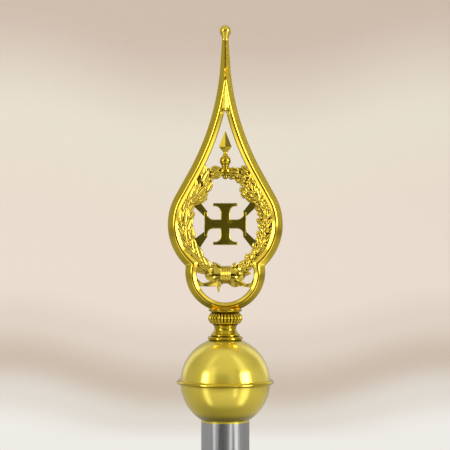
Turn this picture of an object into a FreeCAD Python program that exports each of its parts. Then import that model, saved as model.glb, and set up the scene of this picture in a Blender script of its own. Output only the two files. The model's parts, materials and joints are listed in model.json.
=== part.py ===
import FreeCAD, Part
import math
import os
import Sketcher

# Gilt openwork head of a flag pole, on a hollow ball, on a silver sleeve that fits over the pole.
# Millimetres. The origin is the centre of the sleeve's bottom mouth, +Z is up and the front faces -Y.

SIZES = (
    # silver sleeve and what is in it
    ("sleeve_length", 80),
    ("sleeve_diameter", 35),
    ("socket_wall", 1.5),
    ("sleeve_wall", 1.9),
    ("plug_bottom", 42),
    ("plug_length", 20),
    ("plug_chamfer", 1),
    ("plug_pin_radius", 2),
    ("plug_pin_sink", 0.2),
    ("plug_pin_inner", 8),
    ("slip_gap", 0.02),
    ("running_gap", 0.05),
    ("clamp_height", 18),
    ("clamp_thread_radius", 2.5),
    ("clamp_boss_radius", 5),
    ("clamp_boss_reach", 21.5),
    ("clamp_screw_length", 8),
    ("clamp_slot_floor", 6.5),
    ("clamp_slot_width", 1),
    # ball, measured from its centre
    ("ball_radius", 32.5),
    ("shell_wall", 1),
    ("equator_radius", 35.3),
    ("equator_half_height", 1.8),
    ("equator_round", 2.6),
    ("seat_drop", 28.6),
    ("seat_radius", 17.3),
    ("seat_hub_radius", 9),
    ("seat_hub_top", 29),
    ("seat_bottom", 34),
    ("spacer_radius", 7.5),
    ("crown_radius", 12),
    ("crown_bottom", 27.5),
    # rod through the ball, with its nut and washer
    ("rod_radius", 5),
    ("rod_bottom", 64),
    ("rod_top", 55.5),
    ("washer_thickness", 2.2),
    ("washer_radius", 9),
    ("nut_height", 8),
    ("nut_flats", 16),
    # turned neck, measured from the ball's centre
    ("bead_top", 33.2),
    ("bead_edge_radius", 11.4),
    ("bead_round", 1.6),
    ("spool_foot_radius", 10.5),
    ("spool_foot_top", 34.6),
    ("waist_radius", 7.9),
    ("waist_bottom", 38.4),
    ("waist_top", 39.4),
    ("spool_top", 41.2),
    ("spool_top_radius", 8.9),
    ("spool_cove", 5),
    ("collar_radius", 12.4),
    ("collar_belly", 46.3),
    ("collar_shoulder", 50.6),
    ("collar_shoulder_radius", 10.9),
    ("collar_round", 6.5),
    ("collar_rim_radius", 12.1),
    ("collar_rim_bottom", 51.2),
    ("collar_top", 52.6),
    ("flute_radius", 0.6),
    ("flute_middle_radius", 12.5),
    ("flute_count", 28),
    # spear-shaped frame, measured from the waist where its two curves meet, which rises above the ball
    ("frame_rise", 84.3),
    ("rim_depth", 5.4),
    ("crest_depth", 9),
    ("crest_outer_inset", 3.8),
    ("crest_inner_inset", 6.6),
    ("shoulder_radius", 41.7),
    ("shoulder_rise", 30),
    ("lobe_radius", 29),
    ("lobe_drop", 4.5),
    ("lobe_sink", 0.19),
    ("frame_bottom", 31.7),
    ("flank_angle", 29),
    ("stem_angle", 3.7),
    ("stem_start", 146),
    ("stem_start_half_width", 3.6),
    ("stem_top", 163),
    ("stem_half_width", 2.5),
    ("band_width", 8.3),
    ("foot_radius", 10.3),
    ("foot_height", 5),
    ("foot_bore_depth", 3),
    # knob and small spear tip
    ("knob_neck_radius", 2.3),
    ("knob_radius", 4.3),
    ("knob_belly", 170),
    ("knob_neck_curve", 12),
    ("tip_base", 69),
    ("tip_base_radius", 4.6),
    ("tip_bead_middle", 76.1),
    ("tip_bead_radius", 3.8),
    ("tip_neck_radius", 1.5),
    ("tip_blade_bottom", 84.4),
    ("tip_blade_belly", 86.1),
    ("tip_blade_half_width", 4.65),
    ("tip_blade_top", 97.2),
    ("tip_blade_depth", 4.4),
    # wreath
    ("wreath_rise", 31.6),
    ("wreath_inner_half_width", 24.6),
    ("wreath_inner_half_height", 33),
    ("wreath_outer_half_width", 32.8),
    ("wreath_outer_half_height", 39.6),
    ("wreath_depth", 5),
    ("laurel_leaf_length", 13),
    ("laurel_leaf_width", 5.4),
    ("laurel_pairs", 9),
    ("laurel_splay", 24),
    ("oak_leaf_length", 9.5),
    ("oak_leaf_width", 6.4),
    ("oak_pairs", 11),
    ("oak_splay", 38),
    ("leaf_thickness", 3),
    ("leaf_offset", 1.3),
    ("leaf_first_angle", -74),
    ("leaf_spread_angle", 142),
    # emblem plate
    ("emblem_rise", 30.1),
    ("emblem_half_size", 15.2),
    ("emblem_depth", 4.4),
    ("emblem_arm_half_width", 3.2),
    ("emblem_slab_half_length", 8.8),
    ("emblem_slab_thickness", 2.4),
    ("emblem_bracket_radius", 4.2),
    ("emblem_bracket_root", 4),
    ("emblem_bevel", 0.7),
    ("web_root_depth", 2),
    ("web_root_width", 2.4),
    ("web_width", 4),
    ("web_reach_across", 22),
    ("web_reach_up", 17),
    ("web_depth", 3),
    # ribbon
    ("knot_top", 0.2),
    ("knot_bottom", 12.4),
    ("knot_half_width", 3.4),
    ("knot_depth", 9),
    ("knot_round", 6),
    ("ribbon_depth", 2.6),
    ("ribbon_drape", 18),
    ("ribbon_sag", 13),
)

# ribbons seen from the front: distance across and height above the bottom of the knot
RIGHT_RIBBON = ((1, 5), (4, 3.6), (13, -2.2), (21, 0.5), (20, -4), (13, -4.4), (6, -3.4), (2, 1))
LEFT_RIBBON = ((-1, 5), (-4, 3), (-12, -0.6), (-21, 1), (-20, -3), (-12, -3), (-7, -4), (-5, -7), (-3.4, -2),
               (-2, 1))

ROUND = 360
ORIGIN = -1
START = 1
END = 2


def make_sheet():
    """Puts the driving dimensions into the document's spreadsheet."""
    table = doc.addObject("Spreadsheet::Sheet", "dims")
    for row, (name, number) in enumerate(SIZES, start=1):
        table.set("A%d" % row, name)
        table.set("B%d" % row, str(number))
        table.setAlias("B%d" % row, name)
    doc.recompute()
    return table


def size(name):
    """One driving dimension, read from the sheet."""
    return float(sheet.get(name))


def value(expression):
    """The number that a sheet expression gives, read off a scratch object bound to it."""
    gauge.setExpression("Placement.Base.x", expression)
    gauge.recompute()
    return gauge.Placement.Base.x


def named(part_object, label, height=None):
    """Labels a sub-part, lifts it to its height, and counts it among the pieces."""
    part_object.Label = label
    if height:
        part_object.setExpression("Placement.Base.z", height)
    pieces.append(part_object)
    return part_object


def new_body(label, height=None):
    return named(doc.addObject("PartDesign::Body", label), label, height)


def new_sketch(body, name, role):
    """A sketch attached to one of the body's own origin planes."""
    sketch = body.newObject("Sketcher::SketchObject", name)
    plane = [feature for feature in body.Origin.OriginFeatures if feature.Role == role][0]
    sketch.AttachmentSupport = [(plane, "")]
    sketch.MapMode = "FlatFace"
    return sketch


def bind(sketch, kind, geometry, expression):
    """Ties one measure of a sketch element to the sheet."""
    number = value(expression)
    if kind == "Radius":
        constraint = sketch.addConstraint(Sketcher.Constraint(kind, geometry, number))
    else:
        constraint = sketch.addConstraint(Sketcher.Constraint(kind, ORIGIN, START, *geometry, number))
    sketch.setExpression("Constraints[%d]" % constraint, expression)


def arc_between(start, end, radius, side):
    """The short arc from start to end; side is +1 where its centre lies left of the way there."""
    chord = end - start
    to_centre = math.sqrt(max(radius ** 2 - chord.Length ** 2 / 4, 0))
    left = FreeCAD.Vector(-chord.y, chord.x, 0).normalize()
    centre = (start + end) / 2 + left * (to_centre * side)
    first, last = (start, end) if side > 0 else (end, start)
    first_angle = math.atan2(first.y - centre.y, first.x - centre.x)
    last_angle = math.atan2(last.y - centre.y, last.x - centre.x)
    circle = Part.Circle(centre, FreeCAD.Vector(0, 0, 1), radius)
    return Part.ArcOfCircle(circle, first_angle, last_angle)


def add_outline(sketch, corners, arcs):
    """Draws one closed outline through corners bound to the sheet; arcs gives edges a radius and a side."""
    points = [FreeCAD.Vector(value(across), value(up), 0) for across, up in corners]
    ends = []
    for number, start in enumerate(points):
        end = points[(number + 1) % len(points)]
        if number in arcs:
            radius, side = arcs[number]
            geometry = sketch.addGeometry(arc_between(start, end, value(radius), side), False)
            bind(sketch, "Radius", geometry, radius)
            ends.append((geometry, START, END) if side > 0 else (geometry, END, START))
        else:
            geometry = sketch.addGeometry(Part.LineSegment(start, end), False)
            ends.append((geometry, START, END))
    for number, (geometry, first, last) in enumerate(ends):
        following, following_first, _ = ends[(number + 1) % len(ends)]
        sketch.addConstraint(Sketcher.Constraint("Coincident", geometry, last, following, following_first))
        across, up = corners[number]
        bind(sketch, "DistanceX", (geometry, first), across)
        bind(sketch, "DistanceY", (geometry, first), up)


def outline(body, name, corners, arcs=None, role="XZ_Plane"):
    sketch = new_sketch(body, name, role)
    add_outline(sketch, corners, arcs or {})
    return sketch


def circle_sketch(body, name, role, across, up, radius):
    sketch = new_sketch(body, name, role)
    centre = FreeCAD.Vector(value(across), value(up), 0)
    geometry = sketch.addGeometry(Part.Circle(centre, FreeCAD.Vector(0, 0, 1), value(radius)), False)
    bind(sketch, "DistanceX", (geometry, 3), across)
    bind(sketch, "DistanceY", (geometry, 3), up)
    bind(sketch, "Radius", geometry, radius)
    return sketch


def turn(body, corners, arcs=None):
    """Turns an outline about the body's own vertical axis."""
    sketch = outline(body, "section", corners, arcs)
    turned = body.newObject("PartDesign::Revolution", "turned")
    turned.Profile = sketch
    turned.ReferenceAxis = (sketch, ["V_Axis"])
    turned.Angle = ROUND
    return turned


def check_state(item):
    if "Invalid" in item.State or "Error" in item.State:
        raise RuntimeError("%s did not build: %s" % (item.Label, item.getStatusString()))


def pad(body, sketch, length):
    """Thickens a sketch equally to both sides of its plane."""
    plate = body.newObject("PartDesign::Pad", "plate")
    plate.Profile = sketch
    plate.SideType = "Symmetric"
    plate.setExpression("Length", length)
    doc.recompute()
    check_state(plate)
    return plate


def cut_through(body, sketch, length="dims.sleeve_length * 4"):
    """Cuts a sketch through the body, equally to both sides, and makes sure that it removed something."""
    doc.recompute()
    volume = body.Shape.Volume
    cut = body.newObject("PartDesign::Pocket", "cut")
    cut.Profile = sketch
    cut.SideType = "Symmetric"
    cut.setExpression("Length", length)
    doc.recompute()
    check_state(cut)
    if not body.Shape.Volume < volume:
        raise RuntimeError("%s: the cut removed nothing" % body.Label)
    return cut


def chamfer(body, base, edges, width):
    bevel = body.newObject("PartDesign::Chamfer", "bevel")
    bevel.Base = (base, edges)
    bevel.setExpression("Size", width)
    doc.recompute()
    check_state(bevel)
    return bevel


def face_edges(feature, depth):
    """Names of a plate's edges that lie in its front or back face."""
    names = []
    for number, edge in enumerate(feature.Shape.Edges, start=1):
        ends = [abs(abs(vertex.Y) - depth / 2) < 1e-4 for vertex in edge.Vertexes]
        if all(ends) and abs(edge.BoundBox.YLength) < 1e-4:
            names.append("Edge%d" % number)
    return names


def on_ball(radius, across):
    """Height above the ball's centre of a sphere of this radius, at this distance from the axis."""
    return "sqrt(pow(%s; 2) - pow(%s; 2))" % (radius, across)


# Sleeve, its plug and its clamping screws

SLEEVE_RADIUS = "dims.sleeve_diameter / 2"
SOCKET_RADIUS = "(dims.sleeve_diameter / 2 - dims.socket_wall)"
BORE_RADIUS = "(dims.sleeve_diameter / 2 - dims.sleeve_wall)"
PLUG_MIDDLE = "dims.plug_bottom + dims.plug_length / 2"
ROD_HOLE = "(dims.rod_radius + dims.running_gap)"
BALL_HEIGHT = "(dims.sleeve_length + dims.seat_drop)"
FRAME_HEIGHT = "(dims.sleeve_length + dims.seat_drop + dims.frame_rise)"


def pole_sleeve():
    """Tube with a wider socket for the pole, whose end stops at the shoulder under the plug."""
    body = new_body("pole_sleeve")
    turn(body, [(SOCKET_RADIUS, "0"), (SLEEVE_RADIUS, "0"), (SLEEVE_RADIUS, "dims.sleeve_length"),
                (BORE_RADIUS, "dims.sleeve_length"), (BORE_RADIUS, "dims.plug_bottom"),
                (SOCKET_RADIUS, "dims.plug_bottom")])
    pin_hole = circle_sketch(body, "pin_holes", "XZ_Plane", "0", PLUG_MIDDLE, "dims.plug_pin_radius")
    cut_through(body, pin_hole)
    screw_hole = circle_sketch(body, "screw_holes", "YZ_Plane", "0", "dims.clamp_height",
                               "dims.clamp_thread_radius")
    cut_through(body, screw_hole)


def clamp_bosses():
    """Two bosses brazed to the sleeve's sides, threaded for the clamp screws."""
    body = new_body("clamp_bosses")
    disc = circle_sketch(body, "disc", "YZ_Plane", "0", "dims.clamp_height", "dims.clamp_boss_radius")
    pad(body, disc, "dims.clamp_boss_reach * 2")
    cut_through(body, circle_sketch(body, "saddle", "XY_Plane", "0", "0", SLEEVE_RADIUS))
    thread = circle_sketch(body, "thread", "YZ_Plane", "0", "dims.clamp_height", "dims.clamp_thread_radius")
    cut_through(body, thread)


def clamp_screw(label, side):
    """Slotted grub screw, lying along X with its point level with the socket's wall."""
    body = new_body(label)
    body.Placement = FreeCAD.Placement(FreeCAD.Vector(0, 0, 0), FreeCAD.Rotation(0, 90 * side, 0))
    body.setExpression("Placement.Base.x", "%d * %s" % (side, SOCKET_RADIUS))
    body.setExpression("Placement.Base.z", "dims.clamp_height")
    shank = "(dims.clamp_thread_radius - dims.running_gap)"
    turn(body, [("0", "0"), (shank + " / 2", "0"), (shank, shank + " / 2"),
                (shank, "dims.clamp_screw_length"), ("0", "dims.clamp_screw_length")])
    slot_half = "dims.clamp_slot_width / 2"
    slot = outline(body, "slot", [("-" + slot_half, "dims.clamp_slot_floor"),
                                  (slot_half, "dims.clamp_slot_floor"),
                                  (slot_half, "dims.clamp_screw_length"),
                                  ("-" + slot_half, "dims.clamp_screw_length")])
    cut_through(body, slot)


def pole_plug():
    body = new_body("pole_plug")
    outer = BORE_RADIUS + " - dims.slip_gap"
    top = "dims.plug_bottom + dims.plug_length"
    face = outer + " - dims.plug_chamfer"
    turn(body, [(ROD_HOLE, "dims.plug_bottom"), (face, "dims.plug_bottom"),
                (outer, "dims.plug_bottom + dims.plug_chamfer"), (outer, top + " - dims.plug_chamfer"),
                (face, top), (ROD_HOLE, top)])
    pin_hole = circle_sketch(body, "pin_holes", "XZ_Plane", "0", PLUG_MIDDLE, "dims.plug_pin_radius")
    cut_through(body, pin_hole)


def plug_pins():
    """Two short pins, front and back, that hold the plug in the sleeve."""
    body = new_body("plug_pins")
    radius = "dims.plug_pin_radius - dims.slip_gap"
    rod = circle_sketch(body, "rod", "XZ_Plane", "0", PLUG_MIDDLE, radius)
    pad(body, rod, "dims.sleeve_diameter - dims.plug_pin_sink * 2")
    cut_through(body, circle_sketch(body, "middle", "XY_Plane", "0", "0", "dims.plug_pin_inner"))


# Ball, all measured from its centre

BALL_INSIDE = "(dims.ball_radius - dims.shell_wall)"


def shell(label, side, hole):
    """One half of the spun ball, with a hole on the axis."""
    body = new_body(label, BALL_HEIGHT)
    outer_end = (hole, "%s * %s" % (side, on_ball("dims.ball_radius", hole)))
    inner_end = (hole, "%s * %s" % (side, on_ball(BALL_INSIDE, hole)))
    turn(body, [("dims.ball_radius", "0"), outer_end, inner_end, (BALL_INSIDE, "0")],
         {0: ("dims.ball_radius", side), 2: (BALL_INSIDE, -side)})


def equator_ring():
    """Bead that covers the joint of the two shells."""
    body = new_body("equator_ring", BALL_HEIGHT)
    half = "dims.equator_half_height"
    edge = on_ball("dims.ball_radius", half)
    turn(body, [(edge, "-" + half), ("dims.equator_radius", "0"), (edge, half)],
         {0: ("dims.equator_round", 1), 1: ("dims.equator_round", 1), 2: ("dims.ball_radius", -1)})


def crown_washer():
    body = new_body("crown_washer", BALL_HEIGHT)
    turn(body, [(ROD_HOLE, "dims.crown_bottom"), ("dims.crown_radius", "dims.crown_bottom"),
                ("dims.crown_radius", on_ball(BALL_INSIDE, "dims.crown_radius")),
                (ROD_HOLE, on_ball(BALL_INSIDE, ROD_HOLE))],
         {2: (BALL_INSIDE, 1)})


def spacer_tube():
    body = new_body("spacer_tube", BALL_HEIGHT)
    turn(body, [(ROD_HOLE, "-dims.seat_hub_top"), ("dims.spacer_radius", "-dims.seat_hub_top"),
                ("dims.spacer_radius", "dims.crown_bottom"), (ROD_HOLE, "dims.crown_bottom")])


def seat_ring():
    """Ring under the ball: a hub in the lower shell, a seat on the sleeve's end, a spigot inside it."""
    body = new_body("seat_ring", BALL_HEIGHT)
    spigot = BORE_RADIUS + " - dims.running_gap * 2"
    turn(body, [(ROD_HOLE, "-dims.seat_bottom"), (spigot, "-dims.seat_bottom"), (spigot, "-dims.seat_drop"),
                ("dims.seat_radius", "-dims.seat_drop"),
                ("dims.seat_radius", "-" + on_ball("dims.ball_radius", "dims.seat_radius")),
                ("dims.seat_hub_radius", "-" + on_ball("dims.ball_radius", "dims.seat_hub_radius")),
                ("dims.seat_hub_radius", "-dims.seat_hub_top"), (ROD_HOLE, "-dims.seat_hub_top")],
         {4: ("dims.ball_radius", -1)})


# Rod, nut and washer

def tie_rod():
    """Rod from the head, through the ball, into the plug; its thread is drawn at full diameter."""
    body = new_body("tie_rod", BALL_HEIGHT)
    turn(body, [("0", "-dims.rod_bottom"), ("dims.rod_radius - 1", "-dims.rod_bottom"),
                ("dims.rod_radius", "1 - dims.rod_bottom"), ("dims.rod_radius", "dims.rod_top - 1"),
                ("dims.rod_radius - 1", "dims.rod_top"), ("0", "dims.rod_top")])


def spring_washer():
    body = new_body("spring_washer", BALL_HEIGHT)
    bottom = "-dims.seat_bottom - dims.washer_thickness"
    turn(body, [(ROD_HOLE, bottom), ("dims.washer_radius", bottom),
                ("dims.washer_radius", "-dims.seat_bottom"), (ROD_HOLE, "-dims.seat_bottom")])


def clamp_nut():
    body = new_body("clamp_nut", BALL_HEIGHT)
    corners = []
    for number in range(6):
        corners.append(("dims.nut_flats / 2 / cos(30) * cos(%d)" % (60 * number),
                        "dims.nut_flats / 2 / cos(30) * sin(%d)" % (60 * number)))
    top = "-dims.seat_bottom - dims.washer_thickness"
    hexagon = outline(body, "hexagon", corners, role="XY_Plane")
    hexagon.setExpression("AttachmentOffset.Base.z", top + " - dims.nut_height / 2")
    pad(body, hexagon, "dims.nut_height")
    cut_through(body, circle_sketch(body, "thread", "XY_Plane", "0", "0", ROD_HOLE))


# Turned neck, measured from the ball's centre

def base_bead():
    """Half-round bead with a hollow underside that sits on the ball."""
    body = new_body("base_bead", BALL_HEIGHT)
    edge = "dims.bead_edge_radius"
    turn(body, [(ROD_HOLE, on_ball("dims.ball_radius", ROD_HOLE)),
                (edge, on_ball("dims.ball_radius", edge)), (edge, "dims.bead_top"),
                (ROD_HOLE, "dims.bead_top")],
         {0: ("dims.ball_radius", -1), 1: ("dims.bead_round", 1)})


def neck_spool():
    body = new_body("neck_spool", BALL_HEIGHT)
    turn(body, [(ROD_HOLE, "dims.bead_top"), ("dims.spool_foot_radius", "dims.bead_top"),
                ("dims.spool_foot_radius", "dims.spool_foot_top"), ("dims.waist_radius", "dims.waist_bottom"),
                ("dims.waist_radius", "dims.waist_top"), ("dims.spool_top_radius", "dims.spool_top"),
                (ROD_HOLE, "dims.spool_top")],
         {2: ("dims.spool_cove", -1), 4: ("dims.spool_cove / 2", -1)})


def fluted_collar():
    body = new_body("fluted_collar", BALL_HEIGHT)
    turn(body, [(ROD_HOLE, "dims.spool_top"), ("dims.spool_top_radius", "dims.spool_top"),
                ("dims.collar_radius", "dims.collar_belly"),
                ("dims.collar_shoulder_radius", "dims.collar_shoulder"),
                ("dims.collar_rim_radius", "dims.collar_rim_bottom"),
                ("dims.collar_rim_radius", "dims.collar_top"), (ROD_HOLE, "dims.collar_top")],
         {1: ("dims.collar_round", 1), 2: ("dims.collar_round", 1)})
    flute = circle_sketch(body, "flute", "XY_Plane", "dims.flute_middle_radius", "0",
                          "dims.flute_radius")
    flute.setExpression("AttachmentOffset.Base.z", "(dims.spool_top + dims.collar_shoulder) / 2")
    cut = cut_through(body, flute, "dims.collar_shoulder - dims.spool_top")
    flutes = body.newObject("PartDesign::PolarPattern", "flutes")
    flutes.Originals = [cut]
    flutes.Axis = (flute, ["N_Axis"])
    flutes.Angle = ROUND
    flutes.setExpression("Occurrences", "dims.flute_count")
    body.Tip = flutes


# Spear frame: a lobe, a round shoulder, a straight flank, a hollow curve and a slim stem on each side

def lobe_centre(inset):
    """Drop of the lobe's centre below the waist; it sinks as the outline moves in from the edge."""
    return "(dims.lobe_drop + dims.lobe_sink * %s)" % inset


def spear_corners(inset):
    """Right-hand corners, bottom to top, of the spear outline drawn this far inside its edge."""
    shoulder = "(dims.shoulder_radius - %s)" % inset
    lobe = "(dims.lobe_radius - %s)" % inset
    drop = lobe_centre(inset)
    # where the lobe's circle and the shoulder's circle cross
    waist_up = ("((pow(%s; 2) - pow(%s; 2) + pow(dims.shoulder_rise; 2) - pow(%s; 2))"
                " / (2 * (dims.shoulder_rise + %s)))" % (lobe, shoulder, drop, drop))
    waist = ("sqrt(pow(%s; 2) - pow(dims.shoulder_rise - %s; 2))" % (shoulder, waist_up), waist_up)
    shoulder_end = ("%s * cos(dims.flank_angle)" % shoulder,
                    "dims.shoulder_rise + %s * sin(dims.flank_angle)" % shoulder)
    return waist, shoulder_end


def hollow_curve():
    """Radius and centre of the hollow curve between the flank and the stem, on the outer edge."""
    slope = math.tan(math.radians(size("flank_angle")))
    mean = math.tan(math.radians((size("flank_angle") + size("stem_angle")) / 2))
    across = size("shoulder_radius") * math.cos(math.radians(size("flank_angle")))
    up = size("shoulder_rise") + size("shoulder_radius") * math.sin(math.radians(size("flank_angle")))
    end = FreeCAD.Vector(size("stem_start_half_width"), size("stem_start"), 0)
    start_up = (across + slope * up - end.x - mean * end.y) / (slope - mean)
    start = FreeCAD.Vector(across - slope * (start_up - up), start_up, 0)
    half_turn = math.radians((size("flank_angle") - size("stem_angle")) / 2)
    radius = (end - start).Length / 2 / math.sin(half_turn)
    flank = math.radians(size("flank_angle"))
    centre = start + FreeCAD.Vector(math.cos(flank), math.sin(flank), 0) * radius
    return radius, centre


def curve_numbers():
    """The hollow curve's centre and radius as sheet cells, so that sketches can be bound to them."""
    radius, centre = hollow_curve()
    numbers = (("hollow_radius", radius), ("hollow_across", centre.x), ("hollow_rise", centre.y))
    for row, (name, number) in enumerate(numbers, start=len(SIZES) + 1):
        sheet.set("A%d" % row, name)
        sheet.set("B%d" % row, "%.6f" % number)
        sheet.setAlias("B%d" % row, name)
    doc.recompute()


def mirrored(corners):
    return [("-(%s)" % across, up) for across, up in reversed(corners)]


def spear_wire(sketch, inset):
    """Closed spear outline: pointed where the inset sides meet, with a flat foot and a stem at no inset."""
    waist, shoulder_end = spear_corners(inset)
    shoulder = "(dims.shoulder_radius - %s)" % inset
    lobe = "(dims.lobe_radius - %s)" % inset
    hollow = "(dims.hollow_radius + %s)" % inset
    curve_start = ("dims.hollow_across - %s * cos(dims.flank_angle)" % hollow,
                   "dims.hollow_rise - %s * sin(dims.flank_angle)" % hollow)
    if inset == "0":
        foot_across = "sqrt(pow(dims.lobe_radius; 2) - pow(dims.frame_bottom - dims.lobe_drop; 2))"
        right = [(foot_across, "-dims.frame_bottom"), waist, shoulder_end, curve_start,
                 ("dims.stem_start_half_width", "dims.stem_start"), ("dims.stem_half_width", "dims.stem_top")]
        corners = right + mirrored(right)
        arcs = {0: (lobe, 1), 1: (shoulder, 1), 3: (hollow, -1), 7: (hollow, -1), 9: (shoulder, 1),
                10: (lobe, 1)}
    else:
        tip = ("0", "dims.hollow_rise - sqrt(pow(%s; 2) - pow(dims.hollow_across; 2))" % hollow)
        bottom = ("0", "-%s - %s" % (lobe_centre(inset), lobe))
        right = [waist, shoulder_end, curve_start]
        corners = [bottom] + right + [tip] + mirrored(right)
        arcs = {0: (lobe, 1), 1: (shoulder, 1), 3: (hollow, -1), 4: (hollow, -1), 6: (shoulder, 1),
                7: (lobe, 1)}
    add_outline(sketch, corners, arcs)


def spear_frame():
    body = new_body("spear_frame", FRAME_HEIGHT)
    rim = new_sketch(body, "rim", "XZ_Plane")
    spear_wire(rim, "0")
    spear_wire(rim, "dims.band_width")
    pad(body, rim, "dims.rim_depth")
    crest = new_sketch(body, "crest", "XZ_Plane")
    spear_wire(crest, "dims.crest_outer_inset")
    spear_wire(crest, "dims.crest_inner_inset")
    pad(body, crest, "dims.crest_depth")
    foot(body)


def foot(body):
    """Round foot that stands on the collar and takes the rod's end."""
    disc = circle_sketch(body, "foot", "XY_Plane", "0", "0", "dims.foot_radius")
    disc.setExpression("AttachmentOffset.Base.z", "dims.foot_height / 2 - dims.frame_bottom")
    pad(body, disc, "dims.foot_height")
    bore = circle_sketch(body, "bore", "XY_Plane", "0", "0", ROD_HOLE)
    bore.setExpression("AttachmentOffset.Base.z", "-dims.frame_bottom")
    cut_through(body, bore, "dims.foot_bore_depth * 2")


def apex_knob():
    body = new_body("apex_knob", FRAME_HEIGHT)
    turn(body, [("0", "dims.stem_top"), ("dims.knob_neck_radius", "dims.stem_top"),
                ("dims.knob_radius", "dims.knob_belly"), ("0", "dims.knob_belly + dims.knob_radius")],
         {1: ("dims.knob_neck_curve", -1), 2: ("dims.knob_radius", 1)})


def spear_tip():
    """Small spear blade on a bead, standing on top of the wreath."""
    body = new_body("spear_tip", FRAME_HEIGHT)
    reach = on_ball("dims.tip_bead_radius", "dims.tip_neck_radius")
    turn(body, [("0", "dims.tip_base"), ("dims.tip_base_radius", "dims.tip_base"),
                ("dims.tip_neck_radius", "dims.tip_bead_middle - " + reach),
                ("dims.tip_bead_radius", "dims.tip_bead_middle"),
                ("dims.tip_neck_radius", "dims.tip_bead_middle + " + reach),
                ("dims.tip_neck_radius", "dims.tip_blade_belly"), ("0", "dims.tip_blade_belly")],
         {1: ("dims.tip_base_radius", -1), 2: ("dims.tip_bead_radius", 1), 3: ("dims.tip_bead_radius", 1)})
    blade = outline(body, "blade", [("dims.tip_neck_radius", "dims.tip_blade_bottom"),
                                    ("dims.tip_blade_half_width", "dims.tip_blade_belly"),
                                    ("0", "dims.tip_blade_top"),
                                    ("-dims.tip_blade_half_width", "dims.tip_blade_belly"),
                                    ("-dims.tip_neck_radius", "dims.tip_blade_bottom")])
    pad(body, blade, "dims.tip_blade_depth")


# Wreath: each branch is half of an oval band with leaves on it

def oval(half_width, half_height, depth):
    centre = FreeCAD.Vector(0, -depth / 2, size("wreath_rise"))
    top = centre + FreeCAD.Vector(0, 0, half_height)
    side = centre + FreeCAD.Vector(half_width, 0, 0)
    edge = Part.Ellipse(top, side, centre).toShape()
    return Part.Face(Part.Wire([edge])).extrude(FreeCAD.Vector(0, depth, 0))


def branch_core(side):
    depth = size("wreath_depth")
    ring = oval(size("wreath_outer_half_width"), size("wreath_outer_half_height"), depth).cut(
        oval(size("wreath_inner_half_width"), size("wreath_inner_half_height"), depth))
    reach = size("wreath_outer_half_height") * 2
    corner = FreeCAD.Vector(0 if side > 0 else -reach, -reach, size("wreath_rise") - reach)
    return ring.common(Part.makeBox(reach, reach * 2, reach * 2, corner))


def leaf(length, width, thickness):
    """A pointed leaf lying in the XZ plane, its root at the origin and its tip along +X."""
    root = FreeCAD.Vector(0, 0, 0)
    tip = FreeCAD.Vector(length, 0, 0)
    upper = Part.Arc(root, FreeCAD.Vector(length / 2, 0, width / 2), tip).toShape()
    lower = Part.Arc(tip, FreeCAD.Vector(length / 2, 0, -width / 2), root).toShape()
    blade = Part.Face(Part.Wire([upper, lower])).extrude(FreeCAD.Vector(0, thickness, 0))
    return blade.translated(FreeCAD.Vector(0, -thickness / 2, 0))


def branch(kind, side):
    """One half of the wreath; its leaves point up from the bow and lean to both edges of the band."""
    half_width = (size("wreath_inner_half_width") + size("wreath_outer_half_width")) / 2
    half_height = (size("wreath_inner_half_height") + size("wreath_outer_half_height")) / 2
    blade = leaf(size(kind + "_leaf_length"), size(kind + "_leaf_width"), size("leaf_thickness"))
    pairs = int(size(kind + "_pairs"))
    leaves = []
    for pair in range(pairs):
        angle = math.radians(size("leaf_first_angle") + size("leaf_spread_angle") * pair / pairs)
        heading = math.atan2(half_height * math.cos(angle), -half_width * math.sin(angle))
        for lean in (-1, 1):
            off = size("leaf_offset") * lean
            place = FreeCAD.Vector((half_width + off) * math.cos(angle), 0,
                                   size("wreath_rise") + (half_height + off) * math.sin(angle))
            direction = math.degrees(heading) - size(kind + "_splay") * lean
            one = blade.rotated(FreeCAD.Vector(0, 0, 0), FreeCAD.Vector(0, -1, 0), direction)
            leaves.append(one.translated(place))
    shape = branch_core(1).multiFuse(leaves).removeSplitter()
    if side < 0:
        shape = shape.mirror(FreeCAD.Vector(0, 0, 0), FreeCAD.Vector(1, 0, 0))
    feature = doc.addObject("Part::Feature", kind + "_branch")
    feature.Shape = shape.Solids[0]
    named(feature, kind + "_branch")
    feature.Placement = FreeCAD.Placement(FreeCAD.Vector(0, 0, value(FRAME_HEIGHT)), FreeCAD.Rotation())


# Emblem: a plain cross with slab ends, held by four webs

def emblem_cross():
    body = new_body("emblem_cross", FRAME_HEIGHT + " + dims.emblem_rise")
    half = "dims.emblem_half_size"
    arm = "dims.emblem_arm_half_width"
    slab = "dims.emblem_slab_half_length"
    under = "(dims.emblem_half_size - dims.emblem_slab_thickness)"
    fillet = "(dims.emblem_half_size - dims.emblem_slab_thickness - dims.emblem_bracket_radius)"
    root = "dims.emblem_bracket_root"
    quarter = [(slab, half), (slab, under), (root, under), (arm, fillet), (arm, arm), (fillet, arm),
               (under, root), (under, slab), (half, slab)]
    corners = list(quarter)
    for swap in range(1, 4):
        for across, up in quarter:
            turned = {1: (up, "-(%s)" % across), 2: ("-(%s)" % across, "-(%s)" % up),
                      3: ("-(%s)" % up, across)}[swap]
            corners.append(turned)
    plate = pad(body, outline(body, "cross", corners), "dims.emblem_depth")
    chamfer(body, plate, face_edges(plate, size("emblem_depth")), "dims.emblem_bevel")


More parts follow.
